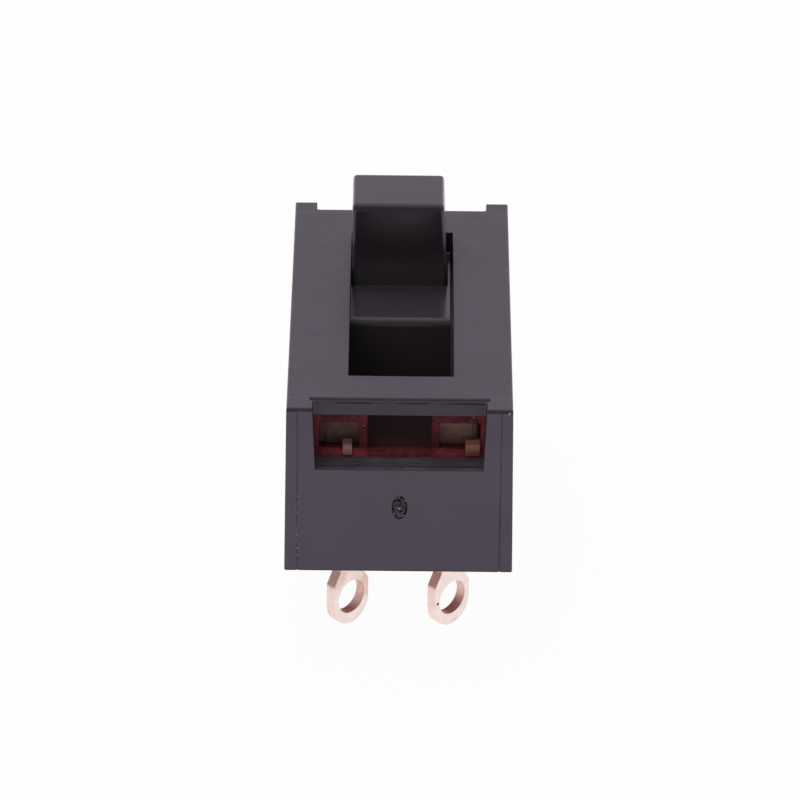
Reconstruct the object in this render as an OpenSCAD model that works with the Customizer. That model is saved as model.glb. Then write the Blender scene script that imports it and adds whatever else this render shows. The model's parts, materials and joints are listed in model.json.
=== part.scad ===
// Three-position slide switch with a stepped thumb slider and six twisted solder lugs.
// Millimetres. X is the width, Y the slide direction with the front end at -Y, and Z is up.
// The lug tips stand on z = 0. The slider is drawn at the rear end of its travel.

/* [Housing] */
// Length of the housing along the slide
body_l = 27; // [24:0.1:34]
// Width of the housing at its top face
body_w = 13.2; // [11.5:0.1:16]
// Height of the housing
body_h = 10.85; // [8.5:0.05:14]
// How much further out each side stands at the bottom
body_draft = 0.125; // [0:0.005:0.2]
// Thickness of the top plate
top_t = 1; // [0.8:0.02:1.1]
// Thickness of the side walls
side_t = 0.9; // [0.6:0.05:0.95]
// Thickness of the outer skin of the end walls
end_t = 1.1; // [0.8:0.05:1.2]
// Thickness of the rib behind each end wall
rib_t = 0.75; // [0.4:0.05:0.8]
// Rounding of the outer edges
edge_r = 0.15; // [0.1:0.01:0.3]
// Length of the snap ribs that hold the contact block up
snap_l = 5; // [3:0.1:6]
// Distance from each end of the housing to the middle of a snap rib
snap_end = 6.9; // [5:0.1:8]
// How far the snap ribs reach under the contact block
snap_reach = 0.28; // [0.15:0.01:0.4]
// Thickness of the snap ribs at their inner edge
snap_t = 0.1; // [0.05:0.01:0.2]

/* [Slot] */
// Distance from each end of the housing to the slot
slot_end = 4.1; // [3.8:0.1:5]
// How far the carrier reaches under the top plate on each side
plate_grip = 1.09; // [0.6:0.01:1.2]
// How far the slot stands to the right of the middle
slot_shift = 0.06; // [-0.1:0.01:0.1]
// How far the left side of the slot leans in over the top plate
slot_lean_left = 0.02; // [0:0.01:0.3]
// How far the right side of the slot leans in over the top plate
slot_lean_right = 0.19; // [0:0.01:0.3]

/* [End windows] */
// Width of the ear on each side of an end window
ear_w = 1.5; // [1.2:0.05:2.5]
// How much further out each jamb of the rear window stands
rear_window_gain = 0.16; // [0:0.01:0.2]
// How far each jamb leans in at the sill
window_lean = 0.17; // [0:0.01:0.3]
// Depth of the window sill below the top face
sill_depth = 4.05; // [3.4:0.05:4.4]
// How far the rib behind the sill stands below it
sill_step = 0.1; // [0.05:0.01:0.2]
// Width of the groove in front of that rib
groove_w = 0.25; // [0.1:0.01:0.3]
// Depth of that groove below the sill
groove_depth = 0.3; // [0.15:0.01:0.4]
// Rounding of the inner corners of the notch in the top plate
notch_r = 0.2; // [0.1:0.05:0.6]
// Width of the rabbet along the front end of the top plate
rabbet_w = 0.3; // [0.08:0.01:0.4]
// Depth of that rabbet
rabbet_depth = 0.12; // [0.08:0.01:0.3]
// How far that rabbet runs on past each jamb
rabbet_over = 0.15; // [0.05:0.05:0.3]

/* [Mould marks] */
// Distance from each jamb to the side-core witness line
seam_gap = 0.85; // [0.5:0.05:1]
// Width of the witness lines
seam_w = 0.09; // [0.05:0.01:0.15]
// Depth of the witness lines
seam_depth = 0.06; // [0.03:0.01:0.1]
// Width of the gate mark on the front end
gate_w = 0.93; // [0.5:0.01:1.5]
// Height of the gate mark on the front end
gate_h = 1.55; // [1:0.05:2.5]
// Depth of the gate mark's centre below the top face
gate_depth = 6.53; // [5.5:0.01:7]
// Distance of the gate mark from the middle
gate_x = 0.05; // [-1:0.05:1]
// How deep the gate mark is sunk
gate_sink = 0.4; // [0.2:0.05:0.6]

/* [Slider] */
// Length of the slider's carrier
slider_l = 9.4; // [8.6:0.1:11]
// Free length left at each end of the slot
end_clear = 0.2; // [0.15:0.05:0.4]
// Clearance of the carrier on each side in the contact chamber
carrier_gap = 0.25; // [0.2:0.01:0.35]
// Height of the knob above the top face
knob_h = 4.28; // [3:0.02:7]
// Length of the knob at its foot
knob_l = 4.9; // [4:0.1:5.5]
// Distance from the back of the carrier to the knob
knob_set = 0.1; // [0:0.05:0.5]
// Clearance from each side of the knob's foot to the slot
knob_clear = 0.1; // [0.09:0.01:0.3]
// How far each side of the knob leans in
knob_lean_w = 0.13; // [0:0.01:0.3]
// How far the knob's top stands over to the left
knob_skew = 0.13; // [0:0.01:0.2]
// How far the front and the back of the knob lean in
knob_lean_l = 0.2; // [0:0.01:0.4]
// Rounding of the knob's upright edges
knob_r = 0.26; // [0.2:0.02:0.7]
// Rounding of the top edges at the knob's front and back
crown_r = 0.36; // [0.1:0.02:0.7]
// Rounding of the top edges at the knob's sides
crown_side = 0.2; // [0.1:0.02:0.7]
// Share of the upright edges' rounding that is left at the crown's rim
crown_corner = 0.2; // [0:0.05:0.8]
// Rounding of the step's front edge
step_r = 0.45; // [0.2:0.05:0.8]
// Side play taken up by the slider
slider_shift = -0.05; // [-0.07:0.01:0.07]

/* [Contact block] */
// Thickness of the block's side walls
chamber_wall = 1.2; // [0.9:0.05:1.3]
// How far the chamber runs on past each end of the slot
chamber_over = 0.1; // [0.05:0.05:0.3]
// Depth of the chamber floor below the top face
floor_depth = 5.3; // [4.6:0.05:6]
// Depth of the floor of the channel at each end below the top face
lip_depth = 3.94; // [3.8:0.02:4.4]
// Depth of the block's top below the top face
block_top_depth = 1.28; // [1.22:0.02:1.4]
// Gap from the block's underside up to the housing's bottom rim
block_recess = 0.45; // [0.35:0.05:0.8]
// Thickness of the post between the middle channel and each terminal window
post_t = 0.47; // [0.4:0.01:0.9]
// Width of each terminal window
pocket_w = 2.4; // [1.8:0.05:2.5]
// Height of each terminal window
pocket_h = 1.68; // [1.4:0.02:1.75]
// Height of each terminal window's lower edge above the channel floor
pocket_rise = 0.34; // [0.3:0.01:0.5]
// Distance from the chamber wall in to each terminal window's middle
pocket_in = 0.9; // [0.85:0.01:1]
// Thickness of the frame around each terminal window
frame_t = 0.45; // [0.35:0.05:0.5]

/* [Terminals] */
// Thickness of the terminal strip
metal_t = 0.66; // [0.5:0.02:0.7]
// Inside radius of the terminal's bend
bend_r = 0.2; // [0.1:0.02:0.3]
// Height of the contact strips
strip_h = 1.53; // [1.3:0.01:1.6]
// Height of the contact strips above the channel floor
strip_rise = 0.44; // [0.4:0.01:0.6]
// How far the end terminals' contact strips reach in past the contact tips
strip_lead = 1.3; // [1:0.1:1.6]
// Length of the middle terminals' contact strips
middle_strip_l = 4; // [3.6:0.1:4.4]
// How far the end terminals' heads reach in behind the frame
head_lap = 0.15; // [0.1:0.01:0.3]
// Distance of the shoulder of the end terminals' legs below the channel floor
leg_drop = 0.36; // [0.2:0.02:0.6]
// Width of the solder lugs
lug_w = 2.8; // [2.6:0.05:3]
// Diameter of the lug holes
lug_hole_d = 2.15; // [1.4:0.05:2.2]
// Reach of the lugs below the housing
lug_drop = 5; // [4.8:0.05:8]
// Height of the lug holes above the tips
lug_hole_z = 1.8; // [1.6:0.02:2.2]
// Height at which the lugs begin to narrow
shoulder_z = 2.94; // [2.7:0.02:3.2]
// How much lower the shoulder on each lug's far side sits
shoulder_skew = 0.38; // [0:0.02:0.4]
// Height at which the lugs have narrowed to the neck
neck_z = 3.74; // [3.5:0.02:3.8]
// Height at which the necks begin to twist
twist_z = 3.95; // [3.9:0.01:4.2]
// Straight length of the necks under the block
twist_gap = 0.3; // [0.1:0.05:0.4]
// Width of the twisted necks
neck_w = 1.7; // [1.2:0.05:2]
// How much wider each side of the neck is at the lug
neck_flare = 0.06; // [0:0.01:0.1]
// How much fuller the neck is where it twists
neck_swell = 0.02; // [0.01:0.005:0.04]
// Turn of the lugs under the block
lug_turn = 45; // [20:1:70]
// Distance from the chamber wall in to the middle of the end lugs
lug_in = 1.45; // [1.35:0.05:1.55]
// How far the clinch tab of the front left terminal stands in from its window's middle
tab_in = 0.5; // [0:0.05:0.9]
// How far the clinch tab of the front right terminal stands out from its window's middle
tab_out = 0.75; // [0:0.05:0.75]
// Width of the clinch tab on the front left and rear right terminals
tab_w = 0.55; // [0.4:0.05:0.8]
// Width of the clinch tab on the front right and rear left terminals
tab_wide = 0.85; // [0.5:0.05:0.85]
// Thickness of the clinch tabs
tab_t = 0.34; // [0.24:0.02:0.4]
// How far the clinch tabs stand out in front of the block
tab_reach = 0.27; // [0.2:0.01:0.4]

/* [Bridge contacts] */
// Distance from each end of the carrier to the bridge contacts
bridge_inset = 0.8; // [0.6:0.05:1.2]
// Height of the bridge contacts
bridge_h = 1.4; // [1.2:0.05:1.5]
// Thickness of the bridge contacts
bridge_t = 0.35; // [0.3:0.01:0.4]
// Length of the bent ends of the bridge contacts
toe_l = 0.6; // [0.4:0.05:0.65]
// How far the bent ends turn in
toe_in = 0.2; // [0.1:0.02:0.3]
// Distance from the contact tips to the bridge's ends
tip_inset = 0.7; // [0.65:0.05:1]
// Radius of the contact tips
tip_r = 0.6; // [0.5:0.02:0.65]
// Height of the contact tips
tip_h = 0.45; // [0.4:0.01:0.5]
// Radius of the tips' shanks
shank_r = 0.3; // [0.2:0.01:0.35]
// Radius of the tips' upset heads
upset_r = 0.43; // [0.36:0.01:0.5]
// Thickness of the tips' upset heads
upset_t = 0.12; // [0.08:0.01:0.15]
// Distance of the contact springs from the bridge's middle
spring_y = 1.9; // [1.6:0.05:2.1]
// Height of the bosses that centre the springs
boss_h = 0.25; // [0.15:0.01:0.3]

/* [Springs and detent] */
// Wire diameter of the contact springs
contact_wire = 0.2; // [0.15:0.01:0.22]
// Outer diameter of the contact springs
contact_coil_d = 1.36; // [1.2:0.02:1.4]
// Turns of the contact springs
contact_turns = 5; // [4:0.5:6]
// Distance of the contact springs' seats from the middle
spring_seat = 1.3; // [1.2:0.02:1.4]
// Diameter of the detent ball
ball_d = 1.7; // [1.5:0.02:1.74]
// Depth to which the ball rides in its track
track_depth = 0.3; // [0.2:0.02:0.4]
// How far the track runs on past the resting places
track_over = 1.1; // [0.9:0.1:1.5]
// Extra depth of the three resting dimples
dimple_depth = 0.12; // [0.05:0.01:0.2]
// Wire diameter of the detent spring
detent_wire = 0.2; // [0.15:0.01:0.24]
// How much smaller the detent spring's mean radius is than the ball's
detent_inset = 0.25; // [0.2:0.01:0.35]
// Turns of the detent spring
detent_turns = 8; // [6:0.5:10]
// Height of the ball bore above the top face
bore_rise = 1.3; // [0.5:0.1:2]

/* [Fits] */
// Running clearance of the slider under the top plate and over the floor
slide_clear = 0.1; // [0.06:0.01:0.15]
// Clearance of the contact block in the housing
block_clear = 0.05; // [0.03:0.01:0.1]
// Clearance of the metal pieces in their slots
metal_clear = 0.05; // [0.02:0.01:0.08]
// Clearance of the bridge contacts in the slider
bridge_clear = 0.1; // [0.06:0.01:0.15]
// Room behind the bridge contacts in the slider
bridge_room = 0.45; // [0.3:0.05:0.5]
// Gap left under the contact tips
tip_gap = 0.02; // [0.01:0.005:0.03]
// Gap around the shanks of the tips and in front of the clinch tabs' seats
seat_gap = 0.02; // [0.01:0.005:0.03]
// Radial clearance of the contact springs in their bores and on their bosses
spring_clear = 0.1; // [0.06:0.01:0.12]
// Radial clearance of the ball in its bore
ball_clear = 0.05; // [0.02:0.01:0.08]
// Radial clearance of the ball in its track
track_clear = 0.08; // [0.05:0.01:0.1]
// Clearance of the ball over the bottom of its track
track_gap = 0.06; // [0.04:0.01:0.1]
// How far pieces of one solid run into each other
lap = 0.1; // [0.05:0.01:0.1]

/* [Hidden] */
$fn = 48;
arc_steps = 5;
// how far a cut runs on past the face that it opens
over = 1;
z_low = lug_drop;
z_top = lug_drop + body_h;
room_l = body_l / 2 - end_t - rib_t;
block_l = room_l - block_clear;
block_w = body_w / 2 - side_t - block_clear;
block_low = z_low + block_recess;
block_top = z_top - block_top_depth;
floor_z = z_top - floor_depth;
lip_z = z_top - lip_depth;
window_w = body_w - 2 * ear_w;
seam_x = window_w / 2 + seam_gap;
snap_y = body_l / 2 - snap_end;
slot_l = body_l - 2 * slot_end;
chamber_l = slot_l / 2 + chamber_over;
chamber_w = 2 * (block_w - chamber_wall);
carrier_w = chamber_w - 2 * carrier_gap;
slot_w = carrier_w - 2 * plate_grip;
slot_left = slot_shift - slot_w / 2 + slot_lean_left;
slot_right = slot_shift + slot_w / 2 - slot_lean_right;
strip_in = chamber_w / 2;
strip_out = strip_in + metal_t;
strip_low = lip_z + strip_rise;
strip_mid = strip_low + strip_h / 2;
pocket_x = strip_in - pocket_in;
pocket_low = lip_z + pocket_rise;
channel_w = 2 * (pocket_x - pocket_w / 2 - post_t);
head_in = pocket_x - pocket_w / 2 - head_lap;
plate_y = block_l - frame_t - metal_clear - metal_t / 2;
lug_x = strip_in - lug_in;
leg_in = lug_x - lug_w / 2;
leg_out = lug_x + lug_w / 2;
leg_top = lip_z - leg_drop;
tab_left_x = tab_in - pocket_x;
tab_right_x = tab_out + pocket_x;
travel = slot_l - 2 * end_clear - slider_l;
slider_back = slot_l / 2 - end_clear;
slider_front = slider_back - slider_l;
slider_mid = (slider_back + slider_front) / 2;
carrier_top = z_top - top_t - slide_clear;
carrier_low = floor_z + slide_clear;
knob_mid = slider_back - knob_set - knob_l / 2;
knob_top = z_top + knob_h;
knob_foot_w = slot_right - slot_left - 2 * knob_clear;
knob_x = (slot_left + slot_right) / 2;
bridge_l = slider_l - 2 * bridge_inset;
bridge_out = strip_in - tip_gap - tip_h;
bridge_in = bridge_out - bridge_t;
bridge_seat = bridge_in - bridge_room;
tip_y = bridge_l / 2 - tip_inset;
end_strip_y = slider_mid + tip_y - strip_lead;
spring_bore_r = contact_coil_d / 2 + spring_clear;
boss_r = contact_coil_d / 2 - contact_wire - spring_clear;
ball_r = ball_d / 2;
ball_y = knob_mid;
ball_z = floor_z - track_depth + ball_r;
track_r = ball_r + track_clear;
detent_coil_r = ball_r - detent_inset;
bore_top = z_top + bore_rise;

// Points of a quarter round, from angle a on
function quarter(x, y, r, a) =
    [for (i = [0:arc_steps]) [x + r * cos(a + 90 * i / arc_steps), y + r * sin(a + 90 * i / arc_steps)]];

// Half width of the end window on one side at height z
function jamb_x(z, side) = window_w / 2 + (side > 0 ? rear_window_gain : 0)
    - window_lean * (z_top - z) / sill_depth;

// Half width of the inside of the housing at height z
function inner_x(z) = body_w / 2 - side_t + body_draft * (z_top - z) / body_h;

// Draws an outline of X and Z through the depth from y0 to y1
module through_y(y0, y1) {
    translate([0, max(y0, y1), 0])
        rotate([90, 0, 0])
            linear_extrude(abs(y1 - y0))
                children();
}

// Draws an outline of Y and Z through the width from x0 to x1
module through_x(x0, x1) {
    translate([min(x0, x1), 0, 0])
        rotate([90, 0, 90])
            linear_extrude(abs(x1 - x0))
                children();
}

// A box between two corners
module box(a, b) {
    translate([min(a[0], b[0]), min(a[1], b[1]), min(a[2], b[2])])
        cube([abs(b[0] - a[0]), abs(b[1] - a[1]), abs(b[2] - a[2])]);
}

// A rectangle with round corners, centred
module round_plan(w, l, r) {
    polygon(concat(
        quarter(w / 2 - r, l / 2 - r, r, 0),
        quarter(r - w / 2, l / 2 - r, r, 90),
        quarter(r - w / 2, r - l / 2, r, 180),
        quarter(w / 2 - r, r - l / 2, r, 270)));
}

// Outside of the housing: drafted sides, all outer edges rounded
module housing_outside() {
    half_top = body_w / 2;
    half_low = half_top + body_draft;
    intersection() {
        through_y(-body_l / 2 - over, body_l / 2 + over)
            polygon(concat(
                [[-half_low, z_low], [half_low, z_low]],
                quarter(half_top - edge_r, z_top - edge_r, edge_r, 0),
                quarter(edge_r - half_top, z_top - edge_r, edge_r, 90)));
        through_x(-half_low - over, half_low + over)
            polygon(concat(
                [[-body_l / 2, z_low - over], [body_l / 2, z_low - over]],
                quarter(body_l / 2 - edge_r, z_top - edge_r, edge_r, 0),
                quarter(edge_r - body_l / 2, z_top - edge_r, edge_r, 90)));
        translate([0, 0, z_low - over])
            linear_extrude(body_h + 2 * over)
                round_plan(2 * half_low, body_l, edge_r);
    }
}

// Inside of the housing, open at the bottom
module housing_inside() {
    low = z_low - over;
    high = z_top - top_t;
    through_y(-room_l, room_l)
        polygon([[-inner_x(low), low], [inner_x(low), low],
            [inner_x(high), high], [-inner_x(high), high]]);
}

// Slot for the knob, with sides that lean in
module slot_cut() {
    left = slot_shift - slot_w / 2;
    right = slot_shift + slot_w / 2;
    low = z_top - top_t;
    through_y(-slot_l / 2, slot_l / 2)
        polygon([[slot_left, low - over], [slot_right, low - over], [slot_right, low], [right, z_top],
            [right, z_top + over], [left, z_top + over], [left, z_top], [slot_left, low]]);
}

// One end window: the opening under the top plate, the notch in the plate's end and the stepped sill
module end_window(side) {
    sill = z_top - sill_depth;
    head = z_top - top_t;
    skin = body_l / 2 - end_t;
    above = z_top + over;
    x_sill = jamb_x(sill, side);
    x_head = jamb_x(head, side);
    x_above = jamb_x(above, side);
    through_y(side * (room_l - lap), side * (body_l / 2 + over))
        polygon([[-x_sill, sill], [x_sill, sill], [x_head, head], [-x_head, head]]);
    difference() {
        through_y(side * skin, side * (body_l / 2 + over))
            polygon([[-x_sill, sill], [x_sill, sill], [x_above, above], [-x_above, above]]);
        for (x = [-1, 1])
            notch_corner(x, side, skin, head);
    }
    // rib behind the sill stands a little lower, with a groove in front of it
    box([-x_sill, side * (room_l - lap), sill - sill_step], [x_sill, side * skin, sill + lap]);
    box([-x_sill, side * skin, sill - groove_depth], [x_sill, side * (skin + groove_w), sill + lap]);
}

// Small rabbet along the top edge of the plate's front end
module edge_rabbet() {
    skin = body_l / 2 - end_t;
    half = jamb_x(z_top, -1) + rabbet_over;
    box([-half, rabbet_w - skin, z_top - rabbet_depth], [half, -skin - lap, z_top + over]);
}

// Material left in the rounded inner corner of the notch
module notch_corner(x, side, skin, head) {
    corner = jamb_x(z_top, side);
    difference() {
        box([x * (corner + ear_w / 2), side * (skin - lap), head],
            [x * (corner - notch_r), side * (skin + notch_r), z_top + 2 * over]);
        translate([x * (corner - notch_r), side * (skin + notch_r), head - over])
            cylinder(r = notch_r, h = top_t + 4 * over);
    }
}

// Oval pit left by the moulding gate
module gate_mark() {
    points = 24;
    translate([gate_x, 0, z_top - gate_depth])
        through_y(-body_l / 2 - over, gate_sink - body_l / 2)
            polygon([for (i = [0:points - 1])
                [gate_w / 2 * cos(360 * i / points), gate_h / 2 * sin(360 * i / points)]]);
}

// Ribs at the bottom of the side walls that hold the contact block up
module snap_ribs() {
    root = inner_x(block_low) + lap;
    edge = block_w - snap_reach;
    for (x = [-1, 1])
        for (y = [-snap_y, snap_y])
            through_y(y - snap_l / 2, y + snap_l / 2)
                polygon([[x * root, block_low], [x * edge, block_low],
                    [x * edge, block_low - snap_t], [x * root, z_low]]);
}

// Black shell: top plate with the slot, end windows, open bottom
module housing() {
    color("#3a373c")
    union() {
        difference() {
            housing_outside();
            housing_inside();
            slot_cut();
            for (side = [-1, 1]) {
                end_window(side);
                for (x = [-1, 1])
                    box([x * seam_x - seam_w / 2, side * (body_l / 2 - seam_depth), z_low - over],
                        [x * seam_x + seam_w / 2, side * (body_l / 2 + over), z_top + over]);
            }
            edge_rabbet();
            gate_mark();
        }
        snap_ribs();
    }
}

// Window, plate slot, leg slot and strip recess for one end terminal
module end_terminal_room(x, side) {
    c = metal_clear;
    near = plate_y - metal_t / 2 - c;
    far = plate_y + metal_t / 2 + c;
    box([x * (pocket_x - pocket_w / 2), side * near, pocket_low],
        [x * (pocket_x + pocket_w / 2), side * (block_l + over), pocket_low + pocket_h]);
    box([x * (leg_in - c), side * near, block_low - over], [x * (leg_out + c), side * far, leg_top + c]);
    box([x * (head_in - c), side * near, leg_top], [x * (leg_out + c), side * far, block_top + over]);
    box([x * (strip_in - bend_r), side * (near - bend_r), strip_low],
        [x * (strip_out + c), side * far, block_top + over]);
    box([x * (strip_in - lap), side * (end_strip_y - c), strip_low],
        [x * (strip_out + c), side * chamber_l, block_top + over]);
    box([x * strip_in, side * (chamber_l - lap), strip_low],
        [x * (strip_out + c), side * far, block_top + over]);
}

// Strip recess and leg slot for one middle terminal
module middle_terminal_room(x) {
    c = metal_clear;
    half = middle_strip_l / 2 + c;
    box([x * (strip_in - lap), -half, strip_low], [x * (strip_out + c), half, block_top + over]);
    box([x * (strip_in - c), -lug_w / 2 - c, block_low - over],
        [x * (strip_out + c), lug_w / 2 + c, block_top + over]);
}

// Track of the detent ball with its three resting dimples
module detent_track() {
    track_z = floor_z - track_depth - track_gap + track_r;
    translate([0, ball_y + track_over, track_z])
        rotate([90, 0, 0])
            cylinder(r = track_r, h = travel + 2 * track_over);
    for (step = [0:2])
        translate([0, ball_y - step * travel / 2, track_z - dimple_depth])
            sphere(r = track_r);
}

// Red tray that carries the terminals and in which the slider runs
module contact_block() {
    color("#7d2a28")
    difference() {
        box([-block_w, -block_l, block_low], [block_w, block_l, block_top]);
        box([-chamber_w / 2, -chamber_l, floor_z], [chamber_w / 2, chamber_l, z_top]);
        box([-channel_w / 2, -block_l - over, lip_z], [channel_w / 2, block_l + over, z_top]);
        for (x = [-1, 1]) {
            for (side = [-1, 1])
                end_terminal_room(x, side);
            middle_terminal_room(x);
        }
        detent_track();
    }
}

// Wide carrier under the top plate, its upper front edge is the step in front of the knob
module carrier() {
    through_x(-carrier_w / 2, carrier_w / 2)
        polygon(concat(
            [[slider_front, carrier_low], [slider_back, carrier_low]],
            quarter(slider_back - step_r, carrier_top - step_r, step_r, 0),
            quarter(slider_front + step_r, carrier_top - step_r, step_r, 90)));
}

// Thumb knob that leans in on all four sides and has a rounded crown
module knob() {
    slice = 0.01;
    foot = carrier_top - step_r / 2;
    tall = knob_top - carrier_top;
    shrink = (tall - crown_r) / tall;
    hull() {
        translate([knob_x, knob_mid, foot])
            linear_extrude(slice)
                round_plan(knob_foot_w, knob_l, knob_r);
        for (i = [0:arc_steps]) {
            a = 90 * i / arc_steps;
            bend = 1 - cos(a);
            rise = crown_r * (sin(a) - 1) - slice;
            translate([knob_x - knob_skew * shrink, knob_mid, knob_top + rise])
                linear_extrude(slice)
                    round_plan(knob_foot_w - 2 * knob_lean_w * shrink - 2 * crown_side * bend,
                        knob_l - 2 * knob_lean_l * shrink - 2 * crown_r * bend,
                        knob_r - min(crown_r, crown_side, knob_r) * bend * (1 - crown_corner));
        }
    }
}

// Side pocket of the carrier for one bridge contact, with the bores for its springs
module bridge_pocket(x) {
    half_l = bridge_l / 2 + bridge_clear;
    half_h = bridge_h / 2 + bridge_clear;
    box([x * bridge_seat, slider_mid - half_l, strip_mid - half_h],
        [x * (carrier_w / 2 + over), slider_mid + half_l, strip_mid + half_h]);
    for (s = [-1, 1])
        translate([x * spring_seat, slider_mid + s * spring_y, strip_mid])
            rotate([0, x * 90, 0])
                cylinder(r = spring_bore_r, h = bridge_seat - spring_seat + lap);
}

// Black slider: knob, step and carrier in one moulding
module slider() {
    color("#2b282d")
    difference() {
        translate([slider_shift, 0, 0])
            union() {
                carrier();
                knob();
            }
        for (x = [-1, 1])
            bridge_pocket(x);
        translate([0, ball_y, carrier_low - over])
            cylinder(r = ball_r + ball_clear, h = bore_top - carrier_low + over);
    }
}

// Outline of a solder lug in its own plane, tip at zero, up to height "top"
module lug_outline(top) {
    half = lug_w / 2;
    neck = neck_w / 2;
    polygon(concat(
        [[half, shoulder_z - shoulder_skew], [neck + neck_flare, neck_z - shoulder_skew], [neck, top],
            [-neck, top], [-neck - neck_flare, neck_z], [-half, shoulder_z]],
        quarter(0, half, half, 180),
        quarter(0, half, half, 270)));
}

// Piece of neck from z0 to z1 that turns from angle a0 to angle a1, a little fuller than the strip
module twisted_neck(z0, z1, a0, a1) {
    slices = 8;
    w = neck_w / 2 + neck_swell;
    t = metal_t / 2 + neck_swell;
    points = [for (i = [0:slices]) for (c = [[w, t], [-w, t], [-w, -t], [w, -t]])
        let (a = a0 + (a1 - a0) * i / slices)
        [c[0] * cos(a) - c[1] * sin(a), c[0] * sin(a) + c[1] * cos(a), z0 + (z1 - z0) * i / slices]];
    skin = [for (i = [0:slices - 1]) for (k = [0:3]) for (half = [0, 1])
        let (n = (k + 1) % 4, low = 4 * i, high = 4 * i + 4)
        half == 0 ? [low + k, high + k, high + n] : [low + k, high + n, low + n]];
    last = 4 * slices;
    polyhedron(points, concat(skin, [[0, 1, 2, 3], [last + 3, last + 2, last + 1, last]]));
}

// Solder lug with its hole and twisted neck, turned from the plane of the leg at angle "leg"
module lug(leg, turn) {
    twist_end = block_low - twist_gap;
    rotate([0, 0, leg + turn])
        difference() {
            through_y(-metal_t / 2, metal_t / 2)
                lug_outline(twist_z + neck_swell);
            translate([0, metal_t, lug_hole_z])
                rotate([90, 0, 0])
                    cylinder(d = lug_hole_d, h = 2 * metal_t);
        }
    twisted_neck(twist_z, twist_end, leg + turn, leg);
    rotate([0, 0, leg])
        through_y(-metal_t / 2, metal_t / 2)
            polygon([[-neck_w / 2, twist_end - neck_swell], [neck_w / 2, twist_end - neck_swell],
                [neck_w / 2, block_low + lap], [-neck_w / 2, block_low + lap]]);
}

// Bent head of an end terminal seen from above: plate in the window, contact strip along the wall
module end_head_plan(x, side) {
    y_in = plate_y - metal_t / 2;
    y_out = plate_y + metal_t / 2;
    outer_r = bend_r + metal_t;
    plan = concat(
        [[head_in, y_in], [head_in, y_out]],
        [for (i = [0:arc_steps]) [strip_in - bend_r + outer_r * sin(90 * i / arc_steps),
            y_in - bend_r + outer_r * cos(90 * i / arc_steps)]],
        [[strip_out, end_strip_y], [strip_in, end_strip_y]],
        quarter(strip_in - bend_r, y_in - bend_r, bend_r, 0));
    polygon([for (p = plan) [x * p[0], side * p[1]]]);
}

// End terminal: bent head, leg down through the block, clinch tab through the window, twisted lug
module end_terminal(x, side, tab, wide) {
    half = wide / 2;
    head_low = strip_low + lap;
    tab_low = pocket_low + seat_gap;
    tab_y = block_l + tab_reach;
    color("#c9835f")
    union() {
        translate([0, 0, strip_low])
            linear_extrude(strip_h)
                end_head_plan(x, side);
        through_y(side * (plate_y - metal_t / 2), side * (plate_y + metal_t / 2))
            polygon([[x * leg_in, block_low], [x * leg_out, block_low], [x * leg_out, head_low],
                [x * head_in, head_low], [x * head_in, leg_top], [x * leg_in, leg_top]]);
        box([tab - half, side * plate_y, tab_low], [tab + half, side * tab_y, tab_low + tab_t]);
        box([tab - half, side * (block_l + seat_gap), lip_z], [tab + half, side * tab_y, tab_low + lap]);
        translate([x * lug_x, side * plate_y, 0])
            lug(0, lug_turn);
    }
}

// Middle terminal: straight strip along the wall, leg down through the block, twisted lug
module middle_terminal(x) {
    half = middle_strip_l / 2;
    color("#c9835f")
    union() {
        through_x(x * strip_in, x * strip_out)
            polygon([[-lug_w / 2, block_low], [lug_w / 2, block_low], [lug_w / 2, strip_low],
                [half, strip_low], [half, strip_low + strip_h], [-half, strip_low + strip_h],
                [-half, strip_low], [-lug_w / 2, strip_low]]);
        translate([x * (strip_in + metal_t / 2), 0, 0])
            lug(90, lug_turn - 90);
    }
}

module terminal_front_left() { end_terminal(-1, -1, tab_left_x, tab_w); }
module terminal_front_right() { end_terminal(1, -1, tab_right_x, tab_wide); }
module terminal_middle_left() { middle_terminal(-1); }
module terminal_middle_right() { middle_terminal(1); }
module terminal_rear_left() { end_terminal(-1, 1, -tab_right_x, tab_wide); }
module terminal_rear_right() { end_terminal(1, 1, -tab_left_x, tab_w); }

// Bridge contact with bent ends, spring bosses and holes for its two tips
module bridge(x) {
    half = bridge_l / 2;
    color("#d2a24f")
    difference() {
        union() {
            translate([0, slider_mid, strip_mid - bridge_h / 2])
                linear_extrude(bridge_h)
                    polygon([for (p = [[bridge_out, toe_l - half], [bridge_out, half - toe_l],
                        [bridge_out - toe_in, half], [bridge_in - toe_in, half],
                        [bridge_in, half - toe_l], [bridge_in, toe_l - half],
                        [bridge_in - toe_in, -half], [bridge_out - toe_in, -half]])
                        [x * p[0], p[1]]]);
            for (s = [-1, 1])
                translate([x * bridge_in, slider_mid + s * spring_y, strip_mid])
                    rotate([0, -x * 90, 0])
                        cylinder(r = boss_r, h = boss_h);
        }
        for (s = [-1, 1])
            translate([x * (bridge_in - over), slider_mid + s * tip_y, strip_mid])
                rotate([0, x * 90, 0])
                    cylinder(r = shank_r + seat_gap, h = bridge_t + 2 * over);
    }
}

module bridge_left() { bridge(-1); }
module bridge_right() { bridge(1); }

// Silver contact tip: dome outside, shank through the bridge, upset head inside
module tip(x, s) {
    dome_r = (tip_r * tip_r + tip_h * tip_h) / (2 * tip_h);
    color("#d9d9d6")
    translate([x * bridge_out, slider_mid + s * tip_y, strip_mid])
        rotate([0, x * 90, 0])
            union() {
                intersection() {
                    translate([0, 0, tip_h - dome_r])
                        sphere(r = dome_r);
                    cylinder(r = tip_r + lap, h = tip_h + lap);
                }
                translate([0, 0, -bridge_t - upset_t])
                    cylinder(r = shank_r, h = bridge_t + upset_t + lap);
                translate([0, 0, -bridge_t - upset_t])
                    cylinder(r = upset_r, h = upset_t);
            }
}

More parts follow.
